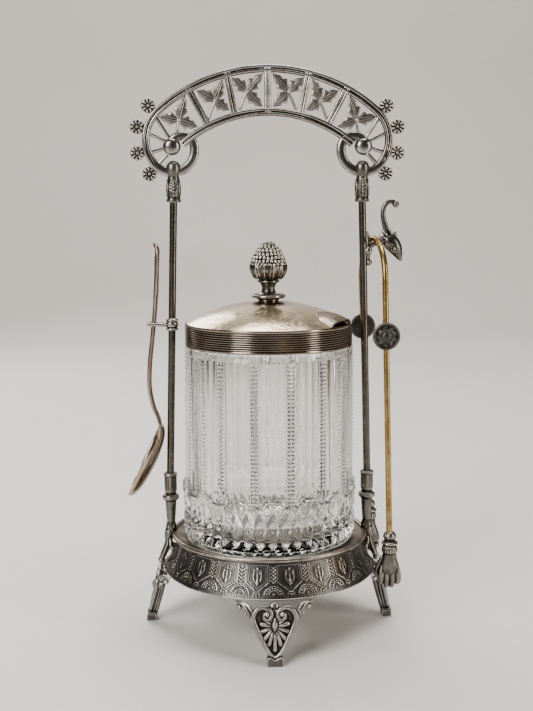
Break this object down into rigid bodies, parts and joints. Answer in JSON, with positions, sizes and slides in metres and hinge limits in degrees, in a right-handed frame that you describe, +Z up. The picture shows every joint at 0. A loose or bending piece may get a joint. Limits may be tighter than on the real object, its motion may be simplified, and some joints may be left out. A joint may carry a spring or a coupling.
{
  "type": "pickle castor",
  "caption": "Pickle castor: a lidded pressed-glass jar in a footed plated frame with an openwork arched handle, tongs on a hook and a spoon in a fork.",
  "frame": {"origin": "on the table under the jar's axis, midway between the feet", "axes": "+Z up along the jar's axis, +X towards the tongs, -Y towards the front"},
  "size_m": [0.1408, 0.1278, 0.2818],
  "materials": {
    "plate": "aged silver plate, dark in the hollows",
    "post_plate": "aged silver plate, brownish",
    "handle_plate": "silver plate, worn bright",
    "lid_plate": "aged silver plate, dark",
    "dome_plate": "polished silver plate, lightly engraved",
    "spoon_plate": "polished silver plate",
    "gilt_brass": "polished",
    "jar_glass": "clear pressed glass"
  },
  "bodies": {
    "frame": {"skirt": "plate", "jar_dish": "plate", "front_leg": "plate", "back_leg": "plate", "left_leg": "plate", "right_leg": "plate", "left_upright": "plate", "right_upright": "plate", "left_post": "post_plate", "right_post": "post_plate", "left_ferrule": "plate", "right_ferrule": "plate", "handle_arch": "handle_plate", "handle_leaves": "handle_plate", "handle_rosettes": "handle_plate", "tongs_hook": "handle_plate", "spoon_bracket": "plate"},
    "jar": {"glass_jar": "jar_glass"},
    "lid": {"lid_band": "lid_plate", "lid_dome": "dome_plate", "spoon_hood": "lid_plate", "finial_base": "lid_plate", "finial": "lid_plate", "finial_nut": "lid_plate"},
    "tongs": {"tongs_bow": "gilt_brass"},
    "front_tong": {"front_arm": "gilt_brass", "front_disc": "lid_plate", "front_claw": "lid_plate"},
    "rear_tong": {"rear_arm": "gilt_brass", "rear_disc": "lid_plate", "rear_claw": "lid_plate"},
    "spoon_body": {"spoon": "spoon_plate"}
  },
  "joints": [
    {"name": "jar_lift", "type": "slide", "parent": "frame", "child": "jar", "axis": [0, 0, 1], "range_m": [0, 0.025]},
    {"name": "lid_lift", "type": "slide", "parent": "jar", "child": "lid", "axis": [0, 0, 1], "range_m": [0, 0.03]},
    {"name": "spoon_lift", "type": "slide", "parent": "frame", "child": "spoon_body", "axis": [0, 0, 1], "range_m": [0, 0.025]},
    {"name": "tongs_swing", "type": "hinge", "parent": "frame", "child": "tongs", "pos_m": [0.0529, 0, 0.1968], "axis": [0.155, -0.9879, 0], "range_deg": [0, 32]},
    {"name": "front_squeeze", "type": "hinge", "parent": "tongs", "child": "front_tong", "pos_m": [0.05473, -0.0118, 0.19299], "axis": [0.9879, 0.155, -0.0047], "range_deg": [0, 2], "stiffness_Nm_per_rad": 0.5, "springref_deg": -1.15},
    {"name": "rear_squeeze", "type": "hinge", "parent": "tongs", "child": "rear_tong", "pos_m": [0.05103, 0.01182, 0.19299], "axis": [-0.9879, -0.155, 0.0047], "range_deg": [0, 2], "stiffness_Nm_per_rad": 0.5, "springref_deg": -1.15}
  ],
  "couplings": [
    {"joint": "rear_squeeze", "follows": "front_squeeze", "ratio": 1}
  ]
}
